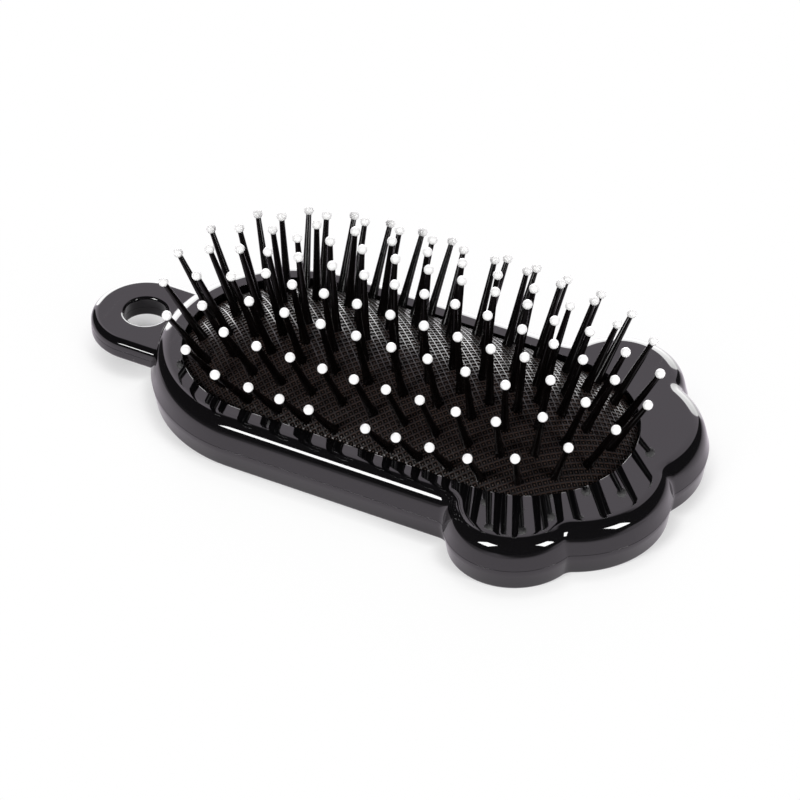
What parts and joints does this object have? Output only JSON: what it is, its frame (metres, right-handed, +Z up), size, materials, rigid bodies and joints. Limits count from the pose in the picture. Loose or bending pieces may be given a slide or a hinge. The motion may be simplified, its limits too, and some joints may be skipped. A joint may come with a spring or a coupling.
{
  "type": "cushion hair brush",
  "caption": "Palm-sized paw-shaped hair brush: a glossy two-part shell with a hanging ring and a crowned rubber cushion with ball-tipped pins that give when pressed.",
  "frame": {"origin": "on the surface that the brush lies on, under the middle of its length and width", "axes": "+Z up out of the pins, +X towards the toes with the hanging ring at -X, +Y across"},
  "size_m": [0.1372, 0.0768, 0.0376],
  "materials": {
    "shell": "high gloss black",
    "pad": "black rubber with a fine raised lattice",
    "inner_plastic": "plain dark moulded plastic",
    "pins": "glossy black nylon",
    "ball_tips": "smooth white resin balls"
  },
  "bodies": {
    "handle": {"back_shell": "shell", "front_shell": "shell", "cushion_pad": "pad", "pad_clamp_ring": "inner_plastic"},
    "centre_pins": {"pin_strip_centre": "pins"},
    "first_ring_pins": {"pin_strip_1a": "pins", "pin_strip_1b": "pins", "pin_strip_1c": "pins", "pin_strip_1d": "pins"},
    "second_ring_pins": {"pin_strip_2a": "pins", "pin_strip_2b": "pins", "pin_strip_2c": "pins", "pin_strip_2d": "pins"},
    "third_ring_pins": {"pin_strip_3a": "pins", "pin_strip_3b": "pins", "pin_strip_3c": "pins", "pin_strip_3d": "pins"},
    "fourth_ring_pins": {"pin_strip_4a": "pins", "pin_strip_4b": "pins", "pin_strip_4c": "pins", "pin_strip_4d": "pins"}
  },
  "joints": [
    {"name": "cushion_press", "type": "slide", "parent": "handle", "child": "centre_pins", "axis": [0, 0, -1], "range_m": [0, 0.004], "stiffness_N_per_m": 4000, "deforming": ["cushion_pad"]},
    {"name": "first_ring_press", "type": "slide", "parent": "handle", "child": "first_ring_pins", "axis": [0, 0, -1], "range_m": [0, 0.00369], "stiffness_N_per_m": 4000},
    {"name": "second_ring_press", "type": "slide", "parent": "handle", "child": "second_ring_pins", "axis": [0, 0, -1], "range_m": [0, 0.00317], "stiffness_N_per_m": 4000},
    {"name": "third_ring_press", "type": "slide", "parent": "handle", "child": "third_ring_pins", "axis": [0, 0, -1], "range_m": [0, 0.00229], "stiffness_N_per_m": 4000},
    {"name": "fourth_ring_press", "type": "slide", "parent": "handle", "child": "fourth_ring_pins", "axis": [0, 0, -1], "range_m": [0, 0.00117], "stiffness_N_per_m": 4000}
  ],
  "couplings": [
    {"joint": "first_ring_press", "follows": "cushion_press", "ratio": 0.92},
    {"joint": "second_ring_press", "follows": "cushion_press", "ratio": 0.79},
    {"joint": "third_ring_press", "follows": "cushion_press", "ratio": 0.57},
    {"joint": "fourth_ring_press", "follows": "cushion_press", "ratio": 0.29}
  ]
}
